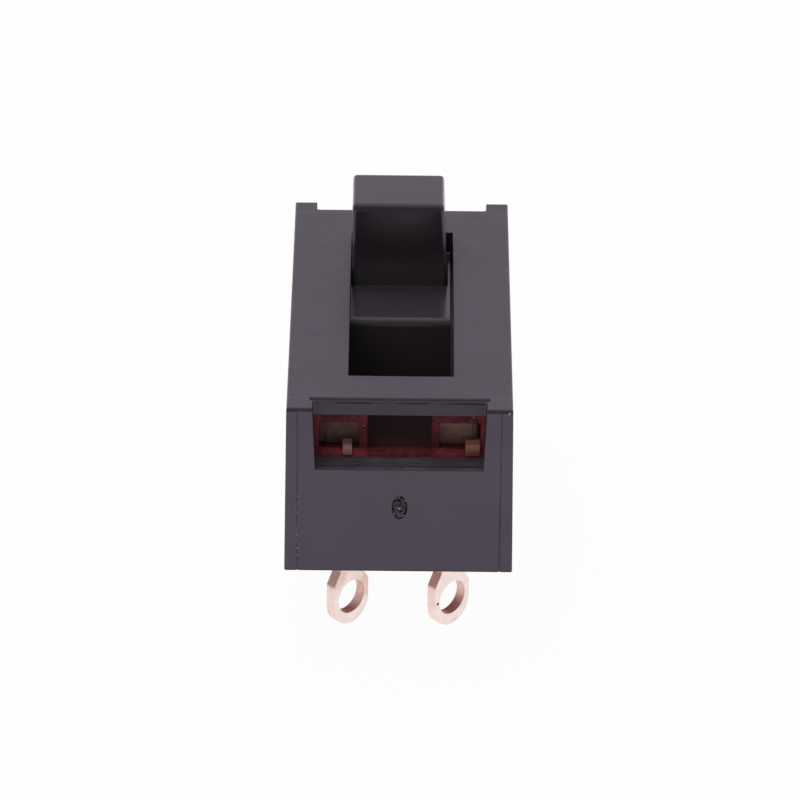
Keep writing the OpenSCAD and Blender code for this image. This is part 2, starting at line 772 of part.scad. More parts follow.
module tip_front_left() { tip(-1, -1); }
module tip_front_right() { tip(1, -1); }
module tip_rear_left() { tip(-1, 1); }
module tip_rear_right() { tip(1, 1); }

// Coil spring along Z from 0 to h, with closed end turns
module coil(mean_r, wire, turns, h) {
    steps = 12;
    sides = 6;
    rings = turns * steps;
    reach = h - wire;
    dead = wire / reach;
    function rise(u) = u < 1 ? u * dead
        : u > turns - 1 ? 1 - (turns - u) * dead
        : dead + (u - 1) / (turns - 2) * (1 - 2 * dead);
    points = [for (i = [0:rings]) for (k = [0:sides - 1])
        let (a = 360 * i / steps, b = 360 * k / sides, r = mean_r + wire / 2 * cos(b))
        [r * cos(a), r * sin(a), wire / 2 + reach * rise(i / steps) + wire / 2 * sin(b)]];
    skin = [for (i = [0:rings - 1]) for (k = [0:sides - 1]) let (n = (k + 1) % sides)
        [i * sides + k, i * sides + n, (i + 1) * sides + n, (i + 1) * sides + k]];
    first = [for (k = [sides - 1:-1:0]) k];
    last = [for (k = [0:sides - 1]) rings * sides + k];
    polyhedron(points, concat(skin, [first, last]), convexity = 10);
}

// Spring that presses a bridge contact outwards
module contact_spring(x, s) {
    color("#b9bcc0")
    translate([x * (spring_seat + seat_gap / 2), slider_mid + s * spring_y, strip_mid])
        rotate([0, x * 90, 0])
            coil((contact_coil_d - contact_wire) / 2, contact_wire, contact_turns,
                bridge_in - spring_seat - seat_gap);
}

module contact_spring_front_left() { contact_spring(-1, -1); }
module contact_spring_front_right() { contact_spring(1, -1); }
module contact_spring_rear_left() { contact_spring(-1, 1); }
module contact_spring_rear_right() { contact_spring(1, 1); }

// Steel ball that drops into the dimples of the track
module detent_ball() {
    color("#c8cacd")
    translate([0, ball_y, ball_z])
        sphere(r = ball_r);
}

// Spring in the knob that presses the ball down
module detent_spring() {
    touch = sqrt(pow(ball_r + detent_wire / 2, 2) - pow(detent_coil_r, 2));
    seat_z = ball_z + touch - detent_wire / 2 + seat_gap;
    color("#b9bcc0")
    translate([0, ball_y, seat_z])
        coil(detent_coil_r, detent_wire, detent_turns, bore_top - seat_z - seat_gap);
}

housing();
contact_block();
slider();
terminal_front_left();
terminal_front_right();
terminal_middle_left();
terminal_middle_right();
terminal_rear_left();
terminal_rear_right();
bridge_left();
bridge_right();
tip_front_left();
tip_front_right();
tip_rear_left();
tip_rear_right();
contact_spring_front_left();
contact_spring_front_right();
contact_spring_rear_left();
contact_spring_rear_right();
detent_ball();
detent_spring();
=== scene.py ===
"""Looks of a three-position slide switch: satin black mouldings, red contact block, copper lugs."""
import json
import math

import bmesh
import bpy
from mathutils import Matrix, Vector, noise


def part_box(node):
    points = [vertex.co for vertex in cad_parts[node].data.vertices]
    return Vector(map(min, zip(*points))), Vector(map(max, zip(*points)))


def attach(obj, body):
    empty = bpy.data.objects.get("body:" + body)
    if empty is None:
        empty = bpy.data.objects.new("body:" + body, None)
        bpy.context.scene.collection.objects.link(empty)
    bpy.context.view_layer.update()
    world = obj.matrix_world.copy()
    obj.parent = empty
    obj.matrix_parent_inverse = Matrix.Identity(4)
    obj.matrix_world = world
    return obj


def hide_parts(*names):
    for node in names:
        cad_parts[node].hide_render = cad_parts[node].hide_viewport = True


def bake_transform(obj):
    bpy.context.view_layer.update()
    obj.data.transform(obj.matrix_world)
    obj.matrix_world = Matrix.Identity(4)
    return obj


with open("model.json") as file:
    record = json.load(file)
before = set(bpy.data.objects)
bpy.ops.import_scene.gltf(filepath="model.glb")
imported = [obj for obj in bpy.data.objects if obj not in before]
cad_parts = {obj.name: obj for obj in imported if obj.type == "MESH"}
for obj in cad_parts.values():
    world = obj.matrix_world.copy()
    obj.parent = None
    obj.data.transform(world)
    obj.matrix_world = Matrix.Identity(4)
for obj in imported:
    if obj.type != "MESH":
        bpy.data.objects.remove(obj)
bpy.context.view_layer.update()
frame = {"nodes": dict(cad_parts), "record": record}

MM = 0.001

# Housing, in millimetres: its end, top and bottom, then what lies on and behind its end walls
HOUSING_LOW, HOUSING_HIGH = (Vector(corner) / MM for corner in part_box("housing"))
END_Y = -HOUSING_LOW.y
TOP_Z = HOUSING_HIGH.z
LOW_Z = HOUSING_LOW.z
SKIN_Y = END_Y - 1.1
RABBET_Y = SKIN_Y - 0.3
SILL_Z = TOP_Z - 4.05
JAMB_X = 5.1
SEAM_X = 5.95

# Gate mark on the front end, and the torn stub in it
GATE = (0.05, -END_Y, TOP_Z - 6.53)
GATE_HALF = (0.465, 0.775)
GATE_SINK = 0.4
STUB_FILL = 0.97
STUB_FOOT = 0.01
STUB_RISE = 0.27
STUB_TILT = 0.18
STUB_ROUGH = 0.12
STUB_DROOP = 0.1
# Roughness of the stub: waves in a millimetre, place in the noise, share
STUB_WAVES = ((6, 3.1, 1.0), (15, 8.4, 0.6))

# Slider: top of the knob, and where the step meets the knob
KNOB_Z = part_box("slider")[1].z / MM
STEP_Y = 4.15

# Red block: its ends, the floor of its end channels, its chamber, the frames of its windows
BLOCK_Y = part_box("contact_block")[1].y / MM
CHANNEL_Z = TOP_Z - 3.94
CHANNEL_X = 1.95
CHAMBER_X = 5.4
CHAMBER_Z = TOP_Z - 6.3
FRAME_X = 4.55

# Terminals: lug holes as the record states them, heads inside the housing, twisted necks
MOUNTS = {mount["name"]: mount for mount in frame["record"]["mounts"]}
END_LUG = MOUNTS["lug_hole_rear_right"]
LUG_END_X, LUG_END_Y, LUG_HOLE_Z = (place / MM for place in END_LUG["pos_m"])
LUG_MID_X = MOUNTS["lug_hole_middle_right"]["pos_m"][0] / MM
LUG_HOLE_R = END_LUG["dims"]["r_mm"]
METAL_T = END_LUG["dims"]["length_mm"]
LUG_TURN = 45
LUG_ZONE_Y = 5.0
HEAD_Y = 11.12
HEAD_Z = TOP_Z - 4.6
TAB_Z = TOP_Z - 3.75
NECK_W = 1.7
NECK_LOW, NECK_HIGH = 3.95, 5.15
NECK_FADE = 0.14
NECK_SWELL = 0.065
NECK_SINK = 0.01

# Coil springs: wire, length at each end that keeps its shape, turns
WIRE = 0.2
CONTACT_TURNS = 5
DETENT_TURNS = 8

# Camera fitted to the corners of the housing in the photograph
CAMERA_PITCH = 0.4957065
CAMERA_YAW = 0.00053065
CAMERA_ROLL = 0.0105464
CAMERA_PLACE = (-0.1466, -302.556, TOP_Z + 156.93)
CAMERA_LENS = 254.89
SENSOR = 36
# Nearest distance that the camera sees, in metres
CLIP_START = 0.01

# Light of the dim room on the object
ROOM_COLOUR = (1.0, 0.98, 1.0)
ROOM_LIGHT = 0.2
# How bright the backdrop looks in a gloss, and the share of that which is left towards the front
BACKDROP_GLEAM = 0.8
ROOM_GLEAM = 0.2
GLEAM_FRONT, GLEAM_BACK = -0.7, 0.1
# Half the floor's side, in metres
FLOOR_HALF = 1.5
# Share of the floor's looks that is plain white, the rest keeps the shadow
FLOOR_WHITE = 0.97
# Where the white sheet in front of the object ends for what mirrors it, in millimetres
WHITE_FADES, WHITE_ENDS = -45, -90

# Levels of noise between which a cloudy tone changes
CLOUDY = (0.3, 0.7)
# Angle from which an edge of a mesh is shaded sharp, in degrees
SHARP = 40


class Graph:
    """Adds nodes to one material or world and links them. Its places and sizes are in millimetres."""

    def __init__(self, owner, kind):
        self.owner = owner
        owner.use_nodes = True
        self.tree = owner.node_tree
        self.tree.nodes.clear()
        self.output = self.node("Output" + kind)

    def node(self, kind, inputs=None, **settings):
        made = self.tree.nodes.new("ShaderNode" + kind)
        for key, value in settings.items():
            setattr(made, key, value)
        for key, value in (inputs or {}).items():
            self.feed(made.inputs[key], value)
        return made

    def feed(self, socket, value):
        if isinstance(value, bpy.types.NodeSocket):
            self.tree.links.new(value, socket)
        else:
            socket.default_value = value

    def place(self, kind="Object"):
        return self.node("TexCoord").outputs[kind]

    def axes(self, kind="Object"):
        split = self.node("SeparateXYZ", {"Vector": self.place(kind)})
        return [split.outputs[axis] for axis in "XYZ"]

    def noise(self, size, detail=2.0, roughness=0.5, stretch=None):
        where = self.place()
        if stretch:
            where = self.node("Mapping", {"Vector": where, "Scale": stretch}).outputs["Vector"]
        made = self.node("TexNoise", {"Vector": where, "Scale": 1 / (size * MM),
                                      "Detail": detail, "Roughness": roughness})
        return made.outputs["Fac"]

    def math(self, operation, a, b=None):
        made = self.node("Math", operation=operation)
        self.feed(made.inputs[0], a)
        if b is not None:
            self.feed(made.inputs[1], b)
        return made.outputs["Value"]

    def times(self, first, *others):
        for other in others:
            first = self.math("MULTIPLY", first, other)
        return first

    def most(self, a, b):
        return self.math("MAXIMUM", a, b)

    def absolute(self, value):
        return self.math("ABSOLUTE", value)

    def band(self, value, low, high, to_low=0.0, to_high=1.0):
        """Smooth step between two plain levels."""
        made = self.node("MapRange", {"Value": value, "From Min": low, "From Max": high,
                                      "To Min": to_low, "To Max": to_high},
                         interpolation_type="SMOOTHSTEP")
        return made.outputs["Result"]

    def ramp(self, place, low, high, to_low=0.0, to_high=1.0):
        """Smooth step between two places."""
        return self.band(place, low * MM, high * MM, to_low, to_high)

    def near(self, place, centre, reach):
        """One at the centre, fading to nothing at the reach."""
        away = self.absolute(self.math("SUBTRACT", place, centre * MM))
        return self.ramp(away, reach, 0.0)

    def cloud(self, size, levels=CLOUDY, to=(0.0, 1.0), **grain):
        """Noise of one size, drawn out between two of its levels."""
        return self.band(self.noise(size, **grain), *levels, *to)

    def mix(self, share, a, b):
        made = self.node("Mix", data_type="RGBA")
        self.feed(made.inputs["Factor"], share)
        self.feed(made.inputs["A"], a)
        self.feed(made.inputs["B"], b)
        return made.outputs["Result"]

    def lay(self, tone, colour, mask, strength):
        """Lays a colour over a tone where the mask says."""
        return self.mix(self.times(mask, strength), tone, colour)

    def show(self, shader):
        self.feed(self.output.inputs["Surface"], shader)

    def surface(self, colour, roughness, height, depth, edge, **inputs):
        """Principled surface with rounded-looking edges and a bumped skin."""
        soft = self.node("Bevel", {"Radius": edge * MM}, samples=12)
        bump = self.node("Bump", {"Strength": 1.0, "Distance": depth * MM, "Height": height,
                                  "Normal": soft.outputs["Normal"]})
        made = self.node("BsdfPrincipled", {"Base Color": colour, "Roughness": roughness,
                                            "Normal": bump.outputs["Normal"], **inputs})
        self.show(made.outputs["BSDF"])
        return self.owner


def material_graph(name):
    return Graph(bpy.data.materials.new(name), "Material")


def grey(level):
    return (level, level, level, 1.0)


def tint(colour, share=1.0):
    return tuple(c * share for c in colour) + (1.0,)


def specks(g, size, level, patch_size):
    """Scattered small spots that gather in patches."""
    spots = g.cloud(size, (level, level + 0.04), detail=1.0)
    patches = g.cloud(patch_size, (0.45, 0.65))
    return g.times(spots, patches)


def black_plastic(name, colour, roughness, grain, edge, marks):
    """Satin moulded plastic with a cloudy tone, a fine grain, faint rubs and a little dust."""
    g = material_graph(name)
    cloud = g.cloud(3.0, detail=4.0, roughness=0.6)
    rub = g.cloud(0.5, (0.56, 0.78), detail=5.0, roughness=0.65, stretch=(1.0, 0.25, 1.0))
    tone = g.mix(cloud, tint(colour, 0.9), tint(colour, 1.1))
    tone = g.lay(tone, tint(colour, 1.5), rub, 0.3)
    tone = g.lay(tone, grey(0.2), specks(g, 0.14, 0.77, 2.6), 0.4)
    shine = (roughness - 0.04, roughness + 0.05)
    gloss = g.cloud(0.7, (0.25, 0.75), shine, detail=4.0, roughness=0.6)
    tone, gloss = marks(g, tone, gloss)
    height = g.math("ADD", g.noise(0.09, detail=3.0), g.times(rub, 0.6))
    return g.surface(tone, gloss, height, grain, edge)


def ear_marks(g, along, z, broken):
    """Masks of a dark line and pale crumbs of flash under the front edges of the ears."""
    line_drop, crumb_drop, reach = 0.16, 0.22, 0.14
    face = g.near(along, END_Y, 0.2)
    line = g.times(g.near(z, TOP_Z - line_drop, reach), face, broken)
    flakes = g.cloud(0.2, (0.6, 0.66))
    crumbs = g.times(g.near(z, TOP_Z - crumb_drop, reach), face, flakes)
    return line, crumbs


def notch_marks(g, along, z, in_notch, broken):
    """Masks of a wavy dark line under the plate's edge in the notch and of the painted shade on the skin
    below it.
    """
    line_drop, plate_edge = 0.2, 0.1
    line = g.times(g.near(z, TOP_Z - line_drop, 0.1), in_notch, g.near(along, SKIN_Y, 0.12), broken)
    below = g.ramp(z, TOP_Z - plate_edge, TOP_Z - plate_edge - 0.06)
    # painted shade on the skin below the plate's edge in the notch
    skin = g.times(g.near(along, SKIN_Y, 0.25), in_notch, below)
    return line, skin


def sill_dust(g, along):
    """Colour of the dusty sill: a dark streak along its middle, paler behind the end wall's skin."""
    streak_in = 0.5
    fluff = g.cloud(0.3, (0.35, 0.75), detail=4.0, roughness=0.6, stretch=(0.3, 1.0, 1.0))
    outer = g.mix(fluff, tint((0.10, 0.086, 0.105)), tint((0.165, 0.148, 0.172)))
    outer = g.lay(outer, tint((0.042, 0.033, 0.044)), g.near(along, END_Y - streak_in, 0.32), 0.8)
    inner = g.mix(fluff, tint((0.135, 0.12, 0.14)), tint((0.23, 0.21, 0.24)))
    behind = g.ramp(along, SKIN_Y + 0.12, SKIN_Y - 0.02)
    return g.mix(behind, outer, inner)


def seam_crumbs(g, x, y, z):
    """Mask of pale crumbs along the side-core line left of each end, denser low down."""
    on_end = g.ramp(g.absolute(y), END_Y - 0.12, END_Y - 0.02)
    seam = g.times(g.near(g.absolute(x), SEAM_X, 0.1), on_end)
    flakes = g.cloud(0.16, (0.57, 0.64))
    low_down = g.ramp(z, TOP_Z - 4.0, LOW_Z + 3.5, 0.1, 1.0)
    left = g.ramp(g.times(x, y), -0.01, 0.01)
    return g.times(seam, flakes, low_down, left)


def mould_marks(g, tone, gloss):
    """Housing: dark lines, crumbs of flash, painted shade in the notch, dusty sill, painted highlight on
    the rabbet, darker bottom edge.
    """
    notch_shade_black = (0.012, 0.006, 0.014)
    rabbet_highlight_grey = (0.2, 0.19, 0.215)
    bottom_edge_dark = (0.02, 0.01, 0.012)
    pale_flash = (0.75, 0.7, 0.78)
    x, y, z = g.axes()
    along = g.absolute(y)
    in_notch = g.ramp(g.absolute(x), JAMB_X + 0.02, JAMB_X - 0.05)
    on_sill = g.times(g.near(z, SILL_Z, 0.3), in_notch, g.ramp(along, END_Y, END_Y - 0.1))
    broken = g.cloud(0.5, (0.35, 0.5), detail=3.0, roughness=0.6, stretch=(0.4, 1.0, 1.0))
    ear_line, ear_crumbs = ear_marks(g, along, z, broken)
    notch_line, notch_shade = notch_marks(g, along, z, in_notch, broken)
    lines = g.most(ear_line, notch_line)
    rabbet = g.times(g.near(along, RABBET_Y, 0.08), g.near(z, TOP_Z - 0.06, 0.09))
    lower_edge = g.near(z, LOW_Z, 0.16)

    # painted shade: the skin in the notch darkened almost to black
    tone = g.lay(tone, tint(notch_shade_black), notch_shade, 0.8)
    tone = g.mix(on_sill, tone, sill_dust(g, along))
    # painted highlight: a lighter band along the rabbet's edge
    tone = g.lay(tone, tint(rabbet_highlight_grey), rabbet, 0.9)
    # darker along the bottom edge
    tone = g.lay(tone, tint(bottom_edge_dark), lower_edge, 0.7)
    tone = g.lay(tone, grey(0.006), lines, 0.9)
    tone = g.lay(tone, tint(pale_flash), seam_crumbs(g, x, y, z), 0.9)
    tone = g.lay(tone, grey(0.4), ear_crumbs, 0.7)
    dull = g.times(g.most(lines, on_sill), 0.45)
    return tone, g.math("ADD", gloss, dull)


def knob_painted_light(g, tone, gloss):
    """Slider: painted shading on the knob below its crown, lighter low down and darker higher up, and
    painted light on the step in front of it.
    """
    _, y, z = g.axes()
    under_crown = g.ramp(z, KNOB_Z - 0.1, KNOB_Z - 0.4)
    higher_up = g.ramp(z, TOP_Z - 0.5, TOP_Z + 2.0)
    # painted shading on the knob's sides and front: lighter low down, darker towards the top
    knob_shade = g.mix(higher_up, tint((0.050, 0.041, 0.050)), tint((0.026, 0.019, 0.027)))
    tone = g.mix(under_crown, tone, knob_shade)
    on_step = g.ramp(y, STEP_Y + 0.1, STEP_Y - 0.1)
    # painted light on the step in front of the knob
    return g.mix(on_step, tone, tint((0.056, 0.046, 0.056))), gloss


def torn_plastic(name):
    """Rough grey break with dark pits, a few painted white glints and one larger painted pale glint."""
    g = material_graph(name)
    glint_x, glint_z, glint_reach = GATE[0] + 0.36, GATE[2] + 0.31, 0.09
    x, _, z = g.axes()
    pits = g.cloud(0.16, (0.42, 0.52))
    glints = specks(g, 0.12, 0.60, 0.3)
    pale_glint = g.times(g.near(x, glint_x, glint_reach), g.near(z, glint_z, glint_reach))
    tone = g.mix(pits, tint((0.008, 0.005, 0.009)), tint((0.06, 0.05, 0.065)))
    # painted highlights: the white glints and the one pale glint
    tone = g.mix(g.most(glints, pale_glint), tone, grey(0.5))
    gloss = g.cloud(0.1, to=(0.35, 0.7))
    height = g.noise(0.16, detail=3.0, roughness=0.6)
    return g.surface(tone, gloss, height, depth=0.05, edge=0.02)


def chamber_shade_masks(g, across, z, deep, within):
    """Masks of the painted shade in the chamber and of how far in it turns from warm to black."""
    middle = g.times(g.ramp(across, CHANNEL_X, CHANNEL_X - 0.1), g.ramp(deep, -0.9, 1.3))
    chamber_shade = g.most(middle, g.ramp(deep, 0.1, 0.9))
    chamber = g.times(within, g.ramp(z, CHAMBER_Z, CHAMBER_Z + 0.3))
    return g.times(chamber_shade, chamber), g.ramp(deep, 0.9, 2.3)


def red_plastic(name):
    """Dull red moulding with painted shade over its floor level, lighter on its outer frame bars, and
    painted shade inside its chamber that turns black further in.
    """
    g = material_graph(name)
    clean = (0.37, 0.06, 0.075)
    shaded_red = (0.085, 0.014, 0.018)
    warm = (0.06, 0.016, 0.016)
    chamber_shade_black = (0.018, 0.01, 0.011)
    pale_dust = (0.5, 0.25, 0.23)
    x, y, z = g.axes()
    across = g.absolute(x)
    deep = g.math("SUBTRACT", BLOCK_Y * MM, g.absolute(y))
    cloud = g.cloud(0.5, detail=4.0, roughness=0.6)
    fresh = g.mix(cloud, tint(clean, 0.65), tint(clean, 1.3))
    # painted shade on the red that lies inside the housing
    soot_and_shade = g.mix(cloud, tint(shaded_red, 0.6), tint(shaded_red, 1.35))
    lighter_red_shade = g.mix(cloud, tint(shaded_red, 1.1), tint(shaded_red, 2.4))
    # painted light: the outer frame bars get a lighter shade
    soot_and_shade = g.mix(g.ramp(across, FRAME_X, FRAME_X + 0.2), soot_and_shade, lighter_red_shade)
    within = g.ramp(across, CHAMBER_X, CHAMBER_X - 0.25)
    over_floor = g.times(within, g.ramp(z, CHANNEL_Z, CHANNEL_Z + 0.5))
    tone = g.mix(over_floor, fresh, soot_and_shade)
    tone = g.lay(tone, tint(pale_dust), specks(g, 0.2, 0.66, 0.9), 0.5)
    chamber_shade, black = chamber_shade_masks(g, across, z, deep, within)
    # painted shade in the chamber, warm red near the end and black further in
    tone = g.mix(chamber_shade, tone, g.mix(black, tint(warm), tint(chamber_shade_black)))
    gloss = g.cloud(0.4, to=(0.55, 0.72), detail=3.0)
    gloss = g.most(gloss, g.times(chamber_shade, 0.85))
    height = g.noise(0.12, detail=3.0)
    return g.surface(tone, gloss, height, depth=0.006, edge=0.06, **{"Specular IOR Level": 0.12})


def lug_plane(g, x, y, z):
    """Places along and up the flat of each lug, from the middle of its hole."""
    at_end = g.math("GREATER_THAN", g.absolute(y), LUG_ZONE_Y * MM)
    hole_x = g.band(at_end, 0.0, 1.0, LUG_MID_X * MM, LUG_END_X * MM)
    hole_y = g.times(at_end, LUG_END_Y * MM)
    off_x = g.math("SUBTRACT", x, g.times(g.math("SIGN", x), hole_x))
    off_y = g.math("SUBTRACT", y, g.times(g.math("SIGN", y), hole_y))
    flat = g.times(g.math("ADD", off_x, off_y), math.cos(math.radians(LUG_TURN)))
    return flat, g.math("SUBTRACT", z, LUG_HOLE_Z * MM)


def blot(g, flat, up, place, reach):
    """Round spot on a lug."""
    over = g.math("SUBTRACT", flat, place[0] * MM)
    above = g.math("SUBTRACT", up, place[1] * MM)
    square = g.math("ADD", g.times(over, over), g.times(above, above))
    return g.ramp(g.math("SQRT", square), reach, 0.5 * reach)


def cut_faces(g):
    """Mask of a lug's cut edges, which don't face as its flat does."""
    turn = math.radians(LUG_TURN)
    flat_faces = (math.cos(turn), -math.sin(turn), 0.0)
    facing = g.node("VectorMath", {0: g.place("Normal"), 1: flat_faces}, operation="DOT_PRODUCT")
    return g.band(g.absolute(facing.outputs["Value"]), 0.55, 0.3)


def lug_stains(g, tone, x, y, flat, up):
    """Stains on the front left lug, a dark speck on the front right one, clouds and pits on all."""
    stained = (0.66, 0.45, 0.33)
    soot_and_shade = (0.05, 0.04, 0.035)
    front = g.ramp(y, -LUG_ZONE_Y, -LUG_ZONE_Y - 1.0)
    left = g.times(front, g.ramp(x, 0.5, -0.5))
    right = g.math("SUBTRACT", front, left)
    mottle = g.cloud(0.45, (0.28, 0.5), detail=4.0, roughness=0.65)
    stain = g.most(blot(g, flat, up, (1.35, 0.4), 1.15), blot(g, flat, up, (-1.1, 1.6), 0.9))
    stain = g.times(stain, left, mottle, 0.5)
    loose = g.times(g.cloud(0.9, (0.58, 0.7), detail=4.0, roughness=0.6), 0.5)
    tone = g.mix(g.most(stain, loose), tone, tint(stained))
    speck = g.times(blot(g, flat, up, (-1.2, 0.0), 0.13), right)
    pits = g.times(specks(g, 0.14, 0.72, 1.2), 0.7)
    return g.mix(g.most(speck, pits), tone, tint(soot_and_shade))


def inner_tarnish_and_shade(g, tone, x, y, z, inside):
    """Tarnish and painted shade on the heads inside the housing, clinch tabs with a painted highlight
    low down and painted shade higher up, both lighter on the right.
    """
    dull = (0.165, 0.098, 0.08)
    clinch = (0.80, 0.46, 0.42)
    fired = (0.72, 0.33, 0.27)
    lighter_right = g.ramp(x, -1.0, 1.0)
    # tarnish and painted shade on the heads inside the housing
    tarnish_and_shade = g.mix(g.cloud(0.5, detail=3.0), tint(dull, 0.85), tint(dull, 1.2))
    tarnish_and_shade = g.mix(lighter_right, tarnish_and_shade, tint(dull, 1.45))
    tone = g.mix(inside, tone, tarnish_and_shade)
    tab = g.times(g.ramp(g.absolute(y), HEAD_Y, HEAD_Y + 0.1), inside)
    # painted highlight low on the clinch tabs, painted shade higher up
    tab_light = g.mix(g.ramp(z, TAB_Z, TAB_Z + 0.6), tint(clinch, 1.2), tint(clinch, 0.6))
    tab_light = g.mix(lighter_right, tab_light, tint(fired))
    return g.mix(tab, tone, tab_light)


def copper(name):
    """Bright stamped copper: red hole walls, stained lugs, heads tarnished and in painted shade, clinch
    tabs with painted highlight and shade.
    """
    g = material_graph(name)
    bright = (1.0, 0.83, 0.785)
    brown = (0.99, 0.76, 0.70)
    flank = (1.0, 0.56, 0.49)
    hole_red = (0.92, 0.34, 0.25)
    shoulder_up = 0.9
    x, y, z = g.axes()
    flat, up = lug_plane(g, x, y, z)
    cut = cut_faces(g)
    cloud = g.cloud(0.7, (0.35, 0.65), detail=5.0, roughness=0.65)
    tone = g.mix(cloud, tint(bright, 0.92), tint(bright))
    tone = g.lay(tone, tint(brown), cut, 0.6)
    hole = g.times(blot(g, flat, up, (0.0, 0.0), LUG_HOLE_R + 0.09), cut)
    hole = g.band(hole, 0.05, 0.1)
    shoulder = g.times(cut, g.ramp(up, shoulder_up, shoulder_up + 0.3), 0.8)
    tone = g.mix(shoulder, tone, tint(flank))
    tone = g.mix(hole, tone, tint(hole_red))
    tone = lug_stains(g, tone, x, y, flat, up)
    inside = g.ramp(z, HEAD_Z, HEAD_Z + 0.6)
    tone = inner_tarnish_and_shade(g, tone, x, y, z, inside)
    gloss = g.cloud(0.25, to=(0.28, 0.45), detail=4.0, roughness=0.65)
    gloss = g.math("ADD", gloss, g.times(inside, 0.25))
    gloss = g.math("ADD", gloss, g.times(cut, 0.12))
    bare = g.math("SUBTRACT", 1.0, g.times(g.most(hole, shoulder), 0.85))
    scratches = g.noise(0.05, detail=3.0, roughness=0.6, stretch=(1.0, 1.0, 0.2))
    height = g.math("ADD", scratches, g.times(g.noise(0.35, detail=3.0), 3.0))
    return g.surface(tone, gloss, height, depth=0.004, edge=0.05, Metallic=bare)


def plain_metal(name, colour, roughness, grain):
    """Hidden metal with a cloudy tone and a fine grain."""
    g = material_graph(name)
    tone = g.mix(g.cloud(0.5, detail=3.0), tint(colour, 0.85), tint(colour, 1.05))
    gloss = g.cloud(0.2, to=(roughness - 0.06, roughness + 0.08), detail=3.0)
    return g.surface(tone, gloss, g.noise(grain, detail=3.0), depth=0.002, edge=0.03, Metallic=1.0)


def dress(materials):
    """Gives each solid the material of its slot."""
    for part in frame["record"]["subparts"]:
        solid = frame["nodes"][part["node"]]
        solid.data.materials.clear()
        solid.data.materials.append(materials[part["material_slot"]])


def add_object(name, mesh, material):
    made = bpy.data.objects.new(name, mesh)
    bpy.context.scene.collection.objects.link(made)
    made.data.materials.append(material)
    return made


def skin_mesh(name, rings):
    """Closed mesh over a row of rings, smooth except at its sharp edges."""
    shape = bmesh.new()
    rows = [[shape.verts.new(Vector(point) * MM) for point in ring] for ring in rings]
    around = len(rows[0])
    for low, high in zip(rows, rows[1:]):
        for k in range(around):
            n = (k + 1) % around
            shape.faces.new((low[k], low[n], high[n], high[k]))
    shape.faces.new(reversed(rows[0]))
    shape.faces.new(rows[-1])
    bmesh.ops.recalc_face_normals(shape, faces=shape.faces)
    mesh = bpy.data.meshes.new(name)
    shape.to_mesh(mesh)
    shape.free()
    mesh.polygons.foreach_set("use_smooth", [True] * len(mesh.polygons))
    mesh.set_sharp_from_angle(angle=math.radians(SHARP))
    return mesh


def stub_height(x, z, reach):
    """How far the torn stub stands up from the floor of the gate mark."""
    rough = sum(share * noise.noise(Vector((x * waves, z * waves, part)))
                for waves, part, share in STUB_WAVES)
    tilt = STUB_TILT * (GATE[2] - z) / GATE_HALF[1]
    return STUB_RISE + tilt + STUB_ROUGH * rough - STUB_DROOP * reach ** 4


def gate_stub(material):
    """Torn stub of the sprue on the floor of the gate mark, an uneven little dome."""
    rings, around = 10, 36
    rows = []
    for i in range(rings + 1):
        reach = min(1.0, (rings + 1 - i) / rings)
        row = []
        for k in range(around):
            turn = 2 * math.pi * k / around
            x = GATE[0] + STUB_FILL * GATE_HALF[0] * reach * math.cos(turn)
            z = GATE[2] + STUB_FILL * GATE_HALF[1] * reach * math.sin(turn)
            out = STUB_FOOT if i == 0 else min(stub_height(x, z, reach), GATE_SINK)
            row.append((x, GATE[1] + GATE_SINK - out, z))
        rows.append(row)
    made = add_object("gate_stub", skin_mesh("gate_stub", rows), material)
    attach(made, "body")


def neck_ring(place, z, turn, half_w, half_t):
    """Points around one turned section of a neck."""
    parts = 6
    corners = [(1, 1), (-1, 1), (-1, -1), (1, -1)]
    ring = []
    for a, b in zip(corners, corners[1:] + corners[:1]):
        for k in range(parts):
            u = half_w * (a[0] + (b[0] - a[0]) * k / parts)
            v = half_t * (a[1] + (b[1] - a[1]) * k / parts)
            ring.append((place[0] + u * math.cos(turn) - v * math.sin(turn),
                         place[1] + u * math.sin(turn) + v * math.cos(turn), z))
    return ring


def neck_skin(name, place, top_turn, material):
    """Smooth skin over the twist between a lug and its leg, which the CAD has in facets."""
    slices = 48
    low, high = NECK_LOW - NECK_FADE, NECK_HIGH + NECK_FADE
    rings = []
    for i in range(slices + 1):
        z = low + (high - low) * i / slices
        share = min(max((z - NECK_LOW) / (NECK_HIGH - NECK_LOW), 0.0), 1.0)
        turn = math.radians(LUG_TURN + (top_turn - LUG_TURN) * share)
        ease = min((z - low) / NECK_FADE, (high - z) / NECK_FADE, 1.0)
        swell = NECK_SWELL * ease - NECK_SINK * (1 - ease)
        rings.append(neck_ring(place, z, turn, NECK_W / 2 + swell, METAL_T / 2 + swell))
    made = add_object(name, skin_mesh(name, rings), material)
    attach(made, "body")


def neck_skins(material):
    for x, side in ((-1, "left"), (1, "right")):
        for y, end in ((-1, "front"), (1, "rear")):
            neck_skin(f"neck_{end}_{side}", (x * LUG_END_X, y * LUG_END_Y), 0, material)
        neck_skin(f"neck_middle_{side}", (x * LUG_MID_X, 0), 90, material)


